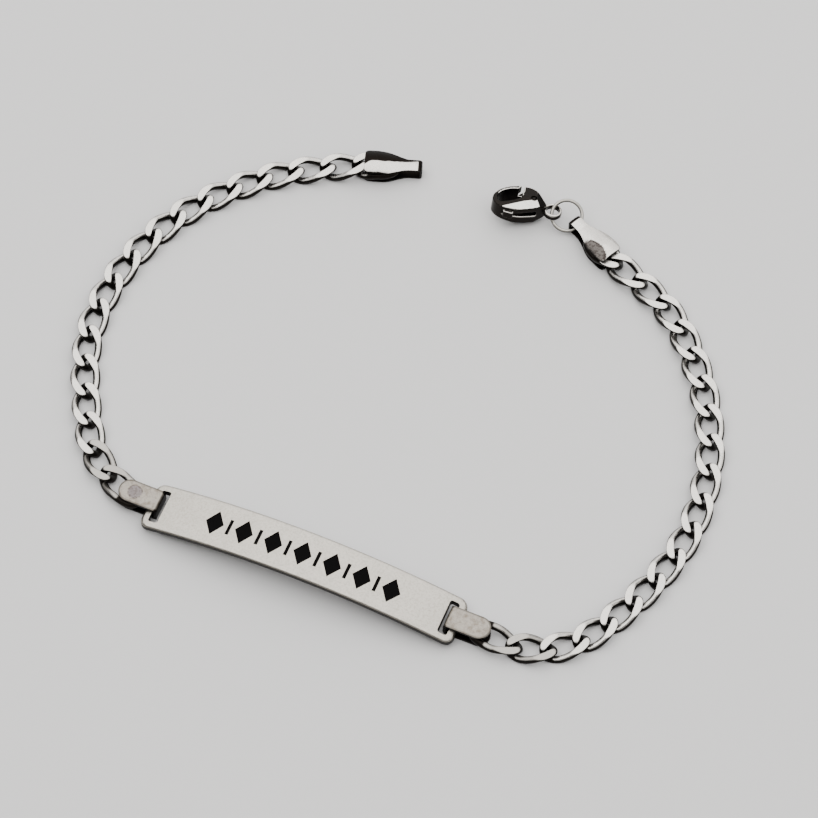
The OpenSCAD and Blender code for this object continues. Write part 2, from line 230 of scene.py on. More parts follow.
def arithmetic(operation, reflected=False):
    """A method that joins a value to another value or a number by a math node."""

    def method(self, other):
        values = (other, self) if reflected else (self, other)
        return self.math(operation, *values)

    return method


class Value:
    """A socket that takes part in arithmetic."""

    def __init__(self, graph, socket):
        self.graph = graph
        self.socket = socket

    def math(self, operation, *values):
        """A math node on the given values."""
        return self.graph.make("ShaderNodeMath", {"operation": operation}, dict(enumerate(values)))

    __add__ = arithmetic("ADD")
    __radd__ = arithmetic("ADD", reflected=True)
    __sub__ = arithmetic("SUBTRACT")
    __rsub__ = arithmetic("SUBTRACT", reflected=True)
    __mul__ = arithmetic("MULTIPLY")
    __rmul__ = arithmetic("MULTIPLY", reflected=True)
    __truediv__ = arithmetic("DIVIDE")
    __rtruediv__ = arithmetic("DIVIDE", reflected=True)
    __pow__ = arithmetic("POWER")
    __rpow__ = arithmetic("POWER", reflected=True)

    def __neg__(self):
        return self * -1.0


class Graph:
    """A node tree whose nodes come from one method."""

    def __init__(self, tree):
        self.tree = tree

    def make(self, kind, settings=None, values=None, output=0):
        """Adds a node with its settings and socket values, and gives one of its outputs."""
        node = self.tree.nodes.new(kind)
        for name, setting in (settings or {}).items():
            setattr(node, name, setting)
        for key, value in (values or {}).items():
            if isinstance(value, Value):
                self.tree.links.new(value.socket, node.inputs[key])
            else:
                node.inputs[key].default_value = value
        if not node.outputs:
            return node
        return Value(self, node.outputs[output])

    def step(self, value, low, high):
        """Rises smoothly from 0 at low to 1 at high."""
        return self.make("ShaderNodeMapRange", {"interpolation_type": "SMOOTHSTEP"},
                         {"Value": value, "From Min": low, "From Max": high})

    def mix(self, amount, first, second):
        """Mixes two colours, each with alpha."""
        return self.make("ShaderNodeMix", {"data_type": "RGBA"},
                         {0: amount, 6: first, 7: second}, output=2)


class Finish(Graph):
    """A material whose patterns are in millimetres on the piece."""

    def __init__(self, name):
        material = bpy.data.materials.new(name)
        material.use_nodes = True
        material.node_tree.nodes.clear()
        super().__init__(material.node_tree)
        self.material = material
        place = self.make("ShaderNodeTexCoord", output=3)
        self.place = self.make("ShaderNodeMapping", None, {"Vector": place, "Scale": (MM, MM, MM)})

    def noise(self, scale, detail, roughness):
        """Noise with the given number of patches to the millimetre."""
        return self.make("ShaderNodeTexNoise", None, {
            "Vector": self.place, "Scale": scale, "Detail": detail, "Roughness": roughness})

    def attribute(self, name):
        """A number that the mesh carries at its points."""
        return self.make("ShaderNodeAttribute", {"attribute_name": name}, output=2)

    def away(self, centre, reach):
        """Distance from a place on the piece, as a share of the mark's reach in X and Y."""
        place = self.make("ShaderNodeAttribute", {"attribute_name": "local"}, output=1)
        place = self.make("ShaderNodeVectorMath", {"operation": "SUBTRACT"},
                          {0: place, 1: (*centre, 0.0)})
        place = self.make("ShaderNodeVectorMath", {"operation": "MULTIPLY"},
                          {0: place, 1: (1 / reach[0], 1 / reach[1], 0.0)})
        return self.make("ShaderNodeVectorMath", {"operation": "LENGTH"}, {0: place}, output=1)

    def bump(self, height, distance, strength):
        """Fine relief of the given depth in millimetres."""
        return self.make("ShaderNodeBump", None, {
            "Height": height, "Distance": distance / MM, "Strength": strength})

    def surface(self, **values):
        """Ends the material in a metal surface with the given socket values."""
        named = {key.replace("_", " "): value for key, value in values.items()}
        shader = self.make("ShaderNodeBsdfPrincipled", None, named)
        self.make("ShaderNodeOutputMaterial", None, {"Surface": shader})
        return self.material


def colour(value, factor=1.0):
    """A colour setting as a tuple with alpha, made lighter or darker."""
    return (value[0] * factor, value[1] * factor, value[2] * factor, 1.0)


def steel(name, bright, dark, rough=0.27, mottle=0.3, tarnish=0.0, marks=None):
    """Satin steel where the mesh's stored brightness is 1, by wear and painted light, and darkened
    steel where it is 0, as painted shade and oxidised hollows.
    """
    f = Finish(name)
    shine = f.attribute("shine")
    broad = f.noise(0.45, 3.0, 0.6)
    patch = f.noise(1.5, 3.0, 0.6)
    grain = f.noise(4.2, 3.0, 0.7)
    fine = f.noise(14.0, 2.0, 0.6)
    # Bright by wear and by painted light, with a grainy edge.
    painted_lit_and_worn = f.step(shine + (grain - 0.5) * 0.22, 0.25, 0.75)
    light = f.mix(f.step(broad, 0.3, 0.75) * 0.25, colour(bright), colour(bright, 0.75))
    light = f.mix(f.step(grain, 0.4, 0.7) * mottle, light, colour(bright, 0.55))
    if tarnish:
        brown = (bright[0] * 0.42, bright[1] * 0.36, bright[2] * 0.31, 1.0)
        light = f.mix(f.step(patch, 0.42, 0.72) * tarnish, light, brown)
    if marks:
        light = marks(f, light)
    # Painted shade on the sides, and oxidised steel in the hollows.
    oxide_and_shade = f.mix(grain, colour(dark), (dark[0] * 2.2, dark[1] * 1.9, dark[2] * 1.7, 1.0))
    base = f.mix(painted_lit_and_worn, oxide_and_shade, light)
    gloss = rough + (grain - 0.5) * 0.12 + (1 - painted_lit_and_worn) * 0.12
    skin = f.bump(fine + grain * 1.4, 0.012, 0.35)
    return f.surface(Base_Color=base, Metallic=1.0, Roughness=gloss, Normal=skin)


def blot(f, light, centre, reach, inner, rim, strength):
    """A round or oval mark on the piece: a tint inside, and a darker rim."""
    wobble = (f.noise(1.8, 2.0, 0.5) - 0.5) * 0.3
    away = f.away(centre, reach) + wobble
    inside = 1 - f.step(away, 0.9, 1.02)
    streaks = f.noise(3.4, 2.0, 0.6)
    edge = f.step(away, 0.76, 0.94) * (1 - f.step(away, 0.98, 1.14)) * f.step(streaks, 0.3, 0.6)
    light = f.mix(inside * strength, light, colour(inner))
    light = f.mix(inside * f.step(streaks, 0.45, 0.6) * strength * 0.6, light, colour(rim))
    return f.mix(edge * strength, light, colour(rim))


# Meshes


def new_object(name, data):
    """A linked object for the mesh, curve, light or camera."""
    piece = bpy.data.objects.new(name, data)
    bpy.context.scene.collection.objects.link(piece)
    return piece


def from_bmesh(name, bm):
    """A linked object from a finished bmesh, which is freed."""
    mesh = bpy.data.meshes.new(name)
    bm.to_mesh(mesh)
    bm.free()
    return new_object(name, mesh)


@contextmanager
def editing(mesh):
    """Opens a mesh for editing and writes it back."""
    bm = bmesh.new()
    bm.from_mesh(mesh)
    yield bm
    bm.to_mesh(mesh)
    bm.free()


def bridge(bm, one, two):
    """Faces between two closed rings of points."""
    for k in range(len(one)):
        j = (k + 1) % len(one)
        bm.faces.new((one[k], one[j], two[j], two[k]))


def strip(bm, one, two):
    """Faces between two open rows of points."""
    for corners in zip(one, two, two[1:], one[1:]):
        bm.faces.new(corners)


def turned_shape(bm, profile, sides, x=0.0):
    """A closed shape turned about an upright axis, from a profile of radii and heights."""
    rings = [[bm.verts.new((x + r * math.cos(2 * math.pi * k / sides),
                            r * math.sin(2 * math.pi * k / sides), z))
              for k in range(sides)] for r, z in profile]
    for one, two in zip(rings, rings[1:]):
        bridge(bm, one, two)
    bm.faces.new(rings[0][::-1])
    bm.faces.new(rings[-1])


def baked(piece):
    """Turns the piece's modifiers into its mesh."""
    shapes = bpy.context.evaluated_depsgraph_get()
    mesh = bpy.data.meshes.new_from_object(piece.evaluated_get(shapes), depsgraph=shapes)
    old = piece.data
    piece.modifiers.clear()
    if piece.type != "MESH":
        name = piece.name
        bpy.data.objects.remove(piece)
        piece = new_object(name, mesh)
    else:
        piece.data = mesh
        bpy.data.meshes.remove(old)
    return piece


def modifier(piece, kind, **settings):
    """Adds a modifier with its settings."""
    added = piece.modifiers.new(kind.title(), kind)
    for name, value in settings.items():
        setattr(added, name, value)


def shine_by_corner(mesh, rule):
    """Stores how bright each corner's surface is painted, by wear and as painted light and shade, from
    its point's number, place and normal.
    """
    layer = mesh.attributes.new("shine", "FLOAT", "CORNER")
    for loop, normal, item in zip(mesh.loops, mesh.corner_normals, layer.data):
        at = loop.vertex_index
        item.value = rule(at, mesh.vertices[at].co, normal.vector)


def shine_by_normal(mesh, rule):
    """Stores how bright each corner's surface is, from its place and normal."""
    shine_by_corner(mesh, lambda at, place, normal: rule(place, normal))


def keep_places(mesh):
    """Keeps each point's place in the piece's own millimetres, for marks on it."""
    layer = mesh.attributes.new("local", "FLOAT_VECTOR", "POINT")
    for vert, item in zip(mesh.vertices, layer.data):
        item.vector = vert.co


def rounding(mesh):
    """How far each point stands out from its neighbours, in millimetres."""
    bm = bmesh.new()
    bm.from_mesh(mesh)
    bm.normal_update()
    found = []
    for vert in bm.verts:
        around = [edge.other_vert(vert).co for edge in vert.link_edges]
        middle = sum(around, Vector()) / len(around)
        found.append((vert.co - middle).dot(vert.normal))
    bm.free()
    return found


def casting_wear_and_highlight(mesh, turned, facet, low, high, spared=None):
    """Edges that stand out are bright by wear, and only where they face up, as a painted highlight; a
    polished facet is bright too; the rest, and a spared spot, is darkened.
    """
    out = rounding(mesh)

    def rule(at, place, normal):
        # Painted highlight: an edge that stands out is bright only where it faces up.
        edge = ramp(out[at], low, high) * ramp((turned @ normal).z, 0.1, 0.5)
        if spared:
            edge *= ramp((place.xy - Vector(spared)).length, 0.7, 0.8)
            edge *= max(ramp(place.y, 0.2, 0.6), 1 - 0.75 * ramp(place.z, 0.7, 0.9))
        return max(edge, facet(place, normal))

    shine_by_corner(mesh, rule)


def ramp(value, low, high):
    """Rises smoothly from 0 at low to 1 at high."""
    t = min(max((value - low) / (high - low), 0.0), 1.0)
    return t * t * (3 - 2 * t)


def settle(piece, materials, body, nodes, where=Matrix.Identity(4)):
    """Moves a piece from millimetres to its place in metres and ties it to its solids."""
    piece.data.transform(Matrix.Scale(1 / MM, 4) @ Matrix.Translation(-CENTRE) @ where)
    index = [face.material_index for face in piece.data.polygons]
    piece.data.materials.clear()
    for material in materials:
        piece.data.materials.append(material)
    piece.data.polygons.foreach_set("material_index", index)
    piece.data.update()
    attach(piece, body)
    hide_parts(*nodes)


def spin(axis, degrees):
    """A turn about one axis."""
    return Matrix.Rotation(math.radians(degrees), 4, axis)


# The chains' routes, as in the solid model


def smooth_point(p, i, t):
    """A point on a smooth curve through the points, at the share t after the point i."""
    n = len(p)
    a, b, c, d = (Vector(p[k]) for k in (max(i - 1, 0), i, min(i + 1, n - 1), min(i + 2, n - 1)))
    return 0.5 * (2 * b + (c - a) * t + (2 * a - 5 * b + 4 * c - d) * t * t
                  + (3 * b - a - 3 * c + d) * t * t * t)


def crossings(route, pitch, count):
    """Equal steps along a smooth curve through the route's points."""
    curve = [smooth_point(route, i, s / 16) for i in range(len(route) - 1) for s in range(16)]
    curve.append(Vector(route[-1]))
    found = [Vector(route[0])]
    i = 0
    while len(found) <= count:
        here = found[-1]
        while i <= len(curve) - 3 and (curve[i + 1] - here).length < pitch:
            i += 1
        u = curve[i + 1] - curve[i]
        w = curve[i] - here
        k = u.dot(u)
        m = u.dot(w)
        r = w.dot(w) - pitch * pitch
        found.append(curve[i] + u * ((-m + math.sqrt(max(m * m - k * r, 0.0))) / k))
    return found


def ahead(turn):
    """The flat direction at the given angle."""
    return Vector((math.cos(math.radians(turn)), math.sin(math.radians(turn))))


def layout(context):
    """Places that several pieces share, in millimetres in the plate's frame."""
    chain = sizes(context, "chain")
    caps = sizes(context, "caps")
    clasp = sizes(context, "clasp")
    pitch = chain.pitch * MM
    link = chain.link * MM
    left = crossings(ROUTE_LEFT, pitch, STEPS_LEFT)
    right = crossings(ROUTE_RIGHT, pitch, STEPS_RIGHT)
    mouth_gap = (link - pitch) / 2 - CAP_OVERLAP
    cap_left = left[STEPS_LEFT] + mouth_gap * ahead(CAP_LEFT_TURN)
    cap_right = right[STEPS_RIGHT] + mouth_gap * ahead(CAP_RIGHT_TURN)
    inner = caps.length * MM - caps.sheet * MM - clasp.ring_wire * MM / 2 - RING_BEHIND_FOLD
    fold = cap_right + inner * ahead(CAP_RIGHT_TURN)
    tilt = math.radians(RING_TILT)
    radius = clasp.ring_radius * MM

    def on_ring(degrees):
        phase = math.radians(degrees)
        flat = (math.cos(phase) * ahead(RING_TURN)
                + math.sin(phase) * math.cos(tilt) * ahead(RING_TURN + 90))
        return radius * Vector((flat.x, flat.y, math.sin(phase) * math.sin(tilt)))

    ring = Vector((fold.x, fold.y, 0.0)) - on_ring(FOLD_PHASE)
    ring.z = RING_Z
    pull = ahead(RING_TURN) * EYE_PULL
    clasp_at = ring + on_ring(CLASP_PHASE) + Vector((pull.x, pull.y, 0.0))
    return {
        "left": left, "right": right, "cap_left": cap_left, "cap_right": cap_right,
        "ring": ring, "clasp": clasp_at,
        "cap_post": (link - (link - pitch) / 2 - mouth_gap - SOLID_WIRE - LINK_PLAY
                     - POST_RADIUS),
    }


# The plate


def bow(sizes_of_plate):
    """Heights of the plate's top and underside along its length."""
    half = sizes_of_plate.length * MM / 2
    arch = sizes_of_plate.arch * MM
    outer = (half * half + arch * arch) / (2 * arch)
    inner = outer - sizes_of_plate.thickness * MM
    base = PLATE_LIFT - math.sqrt(inner * inner - half * half)

    def top(x):
        return base + math.sqrt(outer * outer - x * x)

    def under(x):
        return base + math.sqrt(inner * inner - min(x * x, inner * inner))

    return top, under


def rounded_outline(spline, length, width, radius, centre=(0.0, 0.0)):
    """Fills a curve's spline with a rounded rectangle."""
    points = []
    steps = 12
    for i, (sx, sy) in enumerate([(1, 1), (-1, 1), (-1, -1), (1, -1)]):
        middle = (centre[0] + sx * (length / 2 - radius), centre[1] + sy * (width / 2 - radius))
        for k in range(steps + 1):
            angle = math.radians(90 * i + 90 * k / steps)
            points.append((middle[0] + radius * math.cos(angle),
                           middle[1] + radius * math.sin(angle)))
    spline.points.add(len(points) - 1)
    for point, (x, y) in zip(spline.points, points):
        point.co = (x, y, 0, 1)
    spline.use_cyclic_u = True


def ornament_cutter(depth, top):
    """Seven lozenges and six strokes that narrow downwards, standing through the flat top."""
    bm = bmesh.new()
    spacing = 3.7
    lozenge = [(-1.15, 0), (0, -1.6), (1.15, 0), (0, 1.6)]
    stroke = [(-0.21, -1), (0.21, -1), (0.21, 1), (-0.21, 1)]
    shapes = [(i * spacing, lozenge) for i in range(-3, 4)]
    shapes += [((i + 0.5) * spacing, stroke) for i in range(-3, 3)]
    for x, outline in shapes:
        low = [bm.verts.new((x + px * 0.97, py * 0.97, top - depth)) for px, py in outline]
        high = [bm.verts.new((x + px * 1.01, py * 1.01, top + depth)) for px, py in outline]
        bm.faces.new(low[::-1])
        bm.faces.new(high)
        bridge(bm, low, high)
    return from_bmesh("ornament", bm)


def round_outside(mesh, plate):
    """Widens the rounded edge along the outline, and leaves the slots' edges as they are."""
    corner = plate.corner * MM
    thick = plate.thickness * MM
    bevel = plate.bevel * MM
    wider = plate.edge / plate.bevel
    inner = (plate.length * MM / 2 - corner, plate.width * MM / 2 - corner)
    for vert in mesh.vertices:
        at = Vector(vert.co.xy)
        core = Vector((min(max(at.x, -inner[0]), inner[0]), min(max(at.y, -inner[1]), inner[1])))
        inset = corner - (at - core).length
        if inset > bevel + 0.005:
            continue
        out = (at - core).normalized()
        drop = thick / 2 - abs(vert.co.z)
        at = core + out * (corner - inset * wider)
        side = 1 if vert.co.z > 0 else -1
        vert.co = (at.x, at.y, side * (thick / 2 - min(drop * wider, plate.edge * MM)))


def build_plate(context):
    """Flat plate with its slots and ornament, then bent to its arch."""
    plate = sizes(context, "plate")
    long, wide, thick = plate.length * MM, plate.width * MM, plate.thickness * MM
    bevel = plate.bevel * MM
    curve = bpy.data.curves.new("plate", "CURVE")
    curve.dimensions = "2D"
    curve.fill_mode = "BOTH"
    curve.extrude = thick / 2 - bevel
    curve.bevel_depth = bevel
    curve.bevel_resolution = 3
    curve.offset = -bevel
    rounded_outline(curve.splines.new("POLY"), long, wide, plate.corner * MM)
    slot = plate.slot_width * MM
    middle = long / 2 - plate.bar * MM - slot / 2
    for side in (-1, 1):
        rounded_outline(curve.splines.new("POLY"), slot, plate.slot_length * MM, 0.25,
                        (side * middle, 0.0))
    piece = baked(new_object("plate", curve))
    with editing(piece.data) as bm:
        bmesh.ops.remove_doubles(bm, verts=bm.verts, dist=MERGE)
        bmesh.ops.recalc_face_normals(bm, faces=bm.faces)
    round_outside(piece.data, plate)
    cutter = ornament_cutter(plate.engraving * MM, thick / 2)
    modifier(piece, "BOOLEAN", operation="DIFFERENCE", solver="EXACT", object=cutter)
    piece = baked(piece)
    bpy.data.objects.remove(cutter)
    top, under = bow(plate)
    steps = 90
    # The cuts stand a little aside, off the ornament's corners.
    aside = 0.013
    with editing(piece.data) as bm:
        for i in range(1, steps):
            x = long * (i / steps - 0.5) + aside
            bmesh.ops.bisect_plane(bm, geom=bm.verts[:] + bm.edges[:] + bm.faces[:],
                                   plane_co=(x, 0, 0), plane_no=(1, 0, 0), dist=1e-5)
        bmesh.ops.remove_doubles(bm, verts=bm.verts, dist=MERGE)
        for face in bm.faces:
            centre = face.calc_center_median()
            low = 0 < centre.z < thick / 2 - 0.01 and abs(centre.x) < long / 2 - 5
            face.material_index = 1 if low and abs(centre.y) < 1.7 else 0
        for vert in bm.verts:
            share = vert.co.z / thick + 0.5
            vert.co.z = under(vert.co.x) + (top(vert.co.x) - under(vert.co.x)) * share
        bmesh.ops.triangulate(bm, faces=[f for f in bm.faces if len(f.verts) > 4])
    mesh = piece.data
    mesh.shade_smooth()
    modifier(piece, "WEIGHTED_NORMAL", keep_sharp=True, weight=60)
    mesh.set_sharp_from_angle(angle=math.radians(38))
    piece = baked(piece)
    shine_by_normal(piece.data, lambda place, normal: plate_painted_light(place, normal, top))
    return piece


def plate_painted_light(place, normal, top):
    """The top is bright to its rounded edges as painted light, and the sides are darkened as painted
    shade.
    """
    slot = abs(abs(place.x) - SLOT_MIDDLE) < 0.72 and abs(place.y) < 2.3
    # The slots' walls turn to painted shade sooner than the outer edges.
    low, high = (0.55, 0.9) if slot else (0.2, 0.65)
    # Points well below the top are painted shade, so the underside is dark.
    return ramp(normal.z, low, high) * ramp(place.z - top(place.x), -0.45, -0.3)


class BRACELET_OT_plate(bpy.types.Operator):
    """Arched plate with a slot near each end and an ornament filled with black"""

    bl_idname = "bracelet.plate"
    bl_label = "Plate"

    def execute(self, context):
        finish = sizes(context, "finish")
        piece = build_plate(context)
        piece.name = "plate"
        satin = steel("Satin steel plate", finish.plate, finish.dark, 0.32, 0.5)
        settle(piece, (satin, black_fill(finish)), "bracelet", ["id_plate"])
        return {"FINISHED"}


def black_fill(finish):
    """Dull black in the engraving."""
    f = Finish("Black in the engraving")
    grain = f.noise(9.0, 3.0, 0.6)
    base = f.mix(grain, colour(finish.fill), colour(finish.fill, 2.0))
    return f.surface(Base_Color=base, Specular_IOR_Level=0.0, Roughness=0.8 + grain * 0.15)


# Straps


def ribbon(path, half_width, across=16, lift=None):
    """A strip along a path in X and Z, with a half width for each point of the path."""
    bm = bmesh.new()
    rows = []
    for x, z in path:
        half = half_width(x)
        row = []
        for k in range(across + 1):
            y = half * (2 * k / across - 1)
            rise = lift(x, y, z) if lift else 0.0
            row.append(bm.verts.new((x, y, z + rise)))
        rows.append(row)
    for one, two in zip(rows, rows[1:]):
        strip(bm, one, two)
    return bm


def fold_path(far, low, high, radius, step):
    """Middle line of a sheet that is folded about X = 0, from the lower leaf's end to the upper's."""
    count = max(int((far - radius) / step), 4)
    xs = [radius + (far - radius) * i / count for i in range(count + 1)]
    path = [(x, low) for x in reversed(xs)]
    for k in range(1, 8):
        angle = math.radians(270 - 90 * k / 8)
        path.append((radius + radius * math.cos(angle), low + radius + radius * math.sin(angle)))
    for k in range(1, 6):
        path.append((0.0, low + radius + (high - low - 2 * radius) * k / 6))
    for k in range(0, 8):
        angle = math.radians(180 - 90 * k / 8)
        path.append((radius + radius * math.cos(angle), high - radius + radius * math.sin(angle)))
    path.extend((x, high) for x in xs)
    return path


def add_post(piece, x, low, high):
    """Round post between two leaves, spread a little where it meets them."""
    profile = [(POST_RADIUS + 0.1, low), (POST_RADIUS + 0.03, low + 0.06),
               (POST_RADIUS, low + 0.16), (POST_RADIUS, high - 0.16),
               (POST_RADIUS + 0.03, high - 0.06), (POST_RADIUS + 0.1, high)]
    with editing(piece.data) as bm:
        turned_shape(bm, profile, 24, x)


def thickened(piece, sheet, bevel):
    """Gives a strip its thickness and rounds its edges."""
    modifier(piece, "SOLIDIFY", thickness=sheet, offset=0.0, use_even_offset=True)
    modifier(piece, "BEVEL", width=bevel, segments=3, limit_method="ANGLE",
             angle_limit=math.radians(50), harden_normals=False)
    return baked(piece)


def smoothed(piece):
    """Shades a folded piece smooth but for its sharp edges."""
    piece.data.shade_smooth()
    piece.data.set_sharp_from_angle(angle=math.radians(45))
    return piece


def build_strap(context, name):
    """Strap for the plate's right end, with its width about Y = 0."""
    strap = sizes(context, "straps")
    plate = sizes(context, "plate")
    sheet = strap.sheet * MM
    half_plate = plate.length * MM / 2
    start = half_plate - plate.bar * MM - SLOT_PLAY - sheet
    tip = half_plate + strap.reach * MM
    half = strap.width * MM / 2
    total = tip - start - sheet / 2
    height = strap.gap * MM + sheet

    def half_width(x):
        past = max(x - (total - half), 0.0)
        return max(math.sqrt(max(half * half - past * past, 0.0)), 0.02)

    path = fold_path(total - half, 0.0, height, FOLD_RADIUS - sheet / 2, 0.22)
    low = path[0][0]
    rows = 14
    tip_xs = [low + (total - low) * math.sin(math.radians(90 * k / rows))
              for k in range(1, rows + 1)]
    path = [(x, 0.0) for x in reversed(tip_xs)] + path + [(x, height) for x in tip_xs]

    def lift(x, y, z):
        if z < height * 0.9:
            return 0.0
        return 0.05 * ramp(x, total - 2.6, total - POST_INSET) * (1 - (y / half) ** 2) \
            * (1 - ramp(x, total - 0.7, total))

    bm = ribbon(path, half_width, 16, lift)
    bmesh.ops.recalc_face_normals(bm, faces=bm.faces)
    piece = from_bmesh(name, bm)
    piece = thickened(piece, sheet, strap.bevel * MM)
    add_post(piece, total - POST_INSET, sheet / 2 - 0.05, height - sheet / 2 + 0.05)
    piece.data.transform(Matrix.Translation((start + sheet / 2, 0, sheet / 2)))
    return smoothed(piece)


def strap_painted_light(place, normal, fold, tip, half):
    """The upper leaf's top is bright as painted light inside a duller rim, the fold is darkened as
    painted shade past a darker painted line at the crease, and the sides and the lower leaf are
    painted shade.
    """
    past = max(place.x - tip, 0.0)
    rim = half - math.hypot(past, place.y)
    upper = ramp(place.z, 1.3, 1.7) * (0.45 + 0.55 * ramp(rim, 0.08, 0.4))
    if normal.x < -abs(normal.y) - 0.1:
        # A darker line of painted shade where the fold starts to turn down.
        crease = 1 - 0.35 * ramp(-normal.x, 0.1, 0.3) * (1 - ramp(-normal.x, 0.4, 0.6))
        return upper * min(crease, 1 - (1 - fold) * ramp(-normal.x, 0.1, 0.5))
    return upper * ramp(normal.z, 0.3, 0.7)


class BRACELET_OT_straps(bpy.types.Operator):
    """Folded straps that tie the chains to the plate"""

    bl_idname = "bracelet.straps"
    bl_label = "Straps"

    def execute(self, context):
        finish = sizes(context, "finish")
        strap = sizes(context, "straps")
        plate = sizes(context, "plate")
        left = build_strap(context, "strap_left")
        right = build_strap(context, "strap_right")
        half = strap.width * MM / 2
        tip = plate.length * MM / 2 + strap.reach * MM - half
        # How bright each strap's fold stays under its painted shade.
        for piece, fold in ((left, 0.42), (right, 0.85)):
            shine_by_normal(piece.data,
                            lambda place, normal: strap_painted_light(place, normal, fold, tip, half))
            keep_places(piece.data)
        mirror = Matrix.Scale(-1, 4, (1, 0, 0))
        left.data.transform(mirror)
        left.data.flip_normals()
        metal = (finish.straps, finish.dark, 0.34, 0.5, 0.7)
        painted_lit_and_worn = steel("Tarnished steel straps", *metal)
        welded = steel("Tarnished steel with a weld", *metal, marks=weld_mark)
        settle(left, (welded,), "bracelet", ["connector_left"],
               Matrix.Translation((STRAP_LEFT[0], STRAP_LEFT[1], 0)))
        settle(right, (painted_lit_and_worn,), "bracelet", ["connector_right"],
               Matrix.Translation((-STRAP_RIGHT[0], STRAP_RIGHT[1], 0)))
        return {"FINISHED"}


def weld_mark(f, light):
    """Round weld on the left strap, over its post."""
    return blot(f, light, centre=(21.6, 0.04), reach=(0.86, 0.86), inner=(0.14, 0.122, 0.125),
                rim=(0.07, 0.055, 0.048), strength=0.8)


# Chains


def new_group(name, inputs, result):
    """A geometry node group with named inputs and one geometry output, and its inputs' values."""
    tree = bpy.data.node_groups.new(name, "GeometryNodeTree")
    for label, kind in inputs.items():
        tree.interface.new_socket(label, in_out="INPUT", socket_type="NodeSocket" + kind)
    tree.interface.new_socket(result, in_out="OUTPUT", socket_type="NodeSocketGeometry")
    g = Graph(tree)
    source = g.make("NodeGroupInput").socket.node
    return g, {o.name: Value(g, o) for o in source.outputs if o.name}


def link_tree():
    """Node group for one link: a twisted oval of wire, filed flat above and below."""
    g, given = new_group("Filed link", {
        "Wire": "Float", "Width": "Float", "Length": "Float", "Front Twist": "Float",
        "Rear Twist": "Float", "Filed Height": "Float", "Rings": "Int", "Sides": "Int"}, "Link")
    wire = given["Wire"]
    half_long = (given["Length"] - wire) / 2
    half_wide = (given["Width"] - wire) / 2
    loop = g.make("GeometryNodeCurvePrimitiveCircle", {"mode": "RADIUS"},
                  {"Resolution": given["Rings"], "Radius": 1.0})
    index = g.make("GeometryNodeInputIndex")
    angle = (index + 0.5) / given["Rings"] * (2 * math.pi)
    along = oval(angle.math("COSINE", angle))
    across = oval(angle.math("SINE", angle))
    front = along.math("GREATER_THAN", along, 0.0)
    twist = given["Front Twist"] * front + given["Rear Twist"] * (1 - front)
    turn = along * twist * -1.0
    y = half_wide * across
    place = g.make("ShaderNodeCombineXYZ", None, {
        "X": half_long * along, "Y": y * turn.math("COSINE", turn),
        "Z": y * turn.math("SINE", turn)})
    loop = g.make("GeometryNodeSetPosition", None, {"Geometry": loop, "Position": place})
    ring = g.make("GeometryNodeCurvePrimitiveCircle", {"mode": "RADIUS"},
                  {"Resolution": given["Sides"], "Radius": wire / 2})
    body = g.make("GeometryNodeCurveToMesh", None, {"Curve": loop, "Profile Curve": ring})
    position = g.make("GeometryNodeInputPosition")
    z = g.make("ShaderNodeSeparateXYZ", None, {0: position}, output=2)
    limit = given["Filed Height"]
    flat = g.make("ShaderNodeClamp", None, {"Value": z, "Min": -limit, "Max": limit})
    moved = g.make("ShaderNodeCombineXYZ", None, {"Z": flat - z})
    body = g.make("GeometryNodeSetPosition", None, {"Geometry": body, "Offset": moved})
    body = g.make("GeometryNodeStoreNamedAttribute",
                  {"data_type": "FLOAT_VECTOR", "domain": "POINT"},
                  {"Geometry": body, "Name": "local", "Value": position})
    g.make("NodeGroupOutput", None, {0: body})
    return g.tree


def oval(value):
    """Keeps the sign and makes the ends of an oval a little square."""
    size = value.math("ABSOLUTE", value)
    return value.math("SIGN", value) * size ** 0.83


def chain_tree(link):
    """Places links of three kinds on the points of a mesh and joins them to one mesh."""
    g, given = new_group("Curb chain", {
        "Places": "Geometry", "Wire": "Float", "Width": "Float", "Length": "Float",
        "End Length": "Float", "Twist": "Float", "Filed Height": "Float", "Rings": "Int",
        "Sides": "Int", "Metal": "Material"}, "Chain")
    kinds = []
    for size, front, rear in (("End Length", 1.0, 0.0), ("Length", 1.0, 1.0), ("Length", 0.0, 1.0)):
        shape = g.make("GeometryNodeGroup", {"node_tree": link}, {
            "Wire": given["Wire"], "Width": given["Width"], "Length": given[size],
            "Front Twist": given["Twist"] * front, "Rear Twist": given["Twist"] * rear,
            "Filed Height": given["Filed Height"], "Rings": given["Rings"],
            "Sides": given["Sides"]})
        kinds.append(g.make("GeometryNodeGeometryToInstance", None, {"Geometry": shape}))
    joined = g.make("GeometryNodeJoinGeometry")
    for kind in reversed(kinds):
        g.tree.links.new(kind.socket, joined.socket.node.inputs[0])
    choice = g.make("GeometryNodeInputNamedAttribute", {"data_type": "INT"}, {"Name": "kind"})
    facing = g.make("GeometryNodeInputNamedAttribute", {"data_type": "FLOAT_VECTOR"},
                    {"Name": "facing"})
    turned = g.make("FunctionNodeEulerToRotation", None, {"Euler": facing})
    links = g.make("GeometryNodeInstanceOnPoints", None, {
        "Points": given["Places"], "Instance": joined,
        "Pick Instance": True, "Instance Index": choice, "Rotation": turned})
    links = g.make("GeometryNodeRealizeInstances", None, {"Geometry": links})
    links = g.make("GeometryNodeSetShadeSmooth", None, {"Geometry": links})
    links = g.make("GeometryNodeSetMaterial", None, {"Geometry": links, "Material": given["Metal"]})
    g.make("NodeGroupOutput", None, {0: links})
    return g.tree


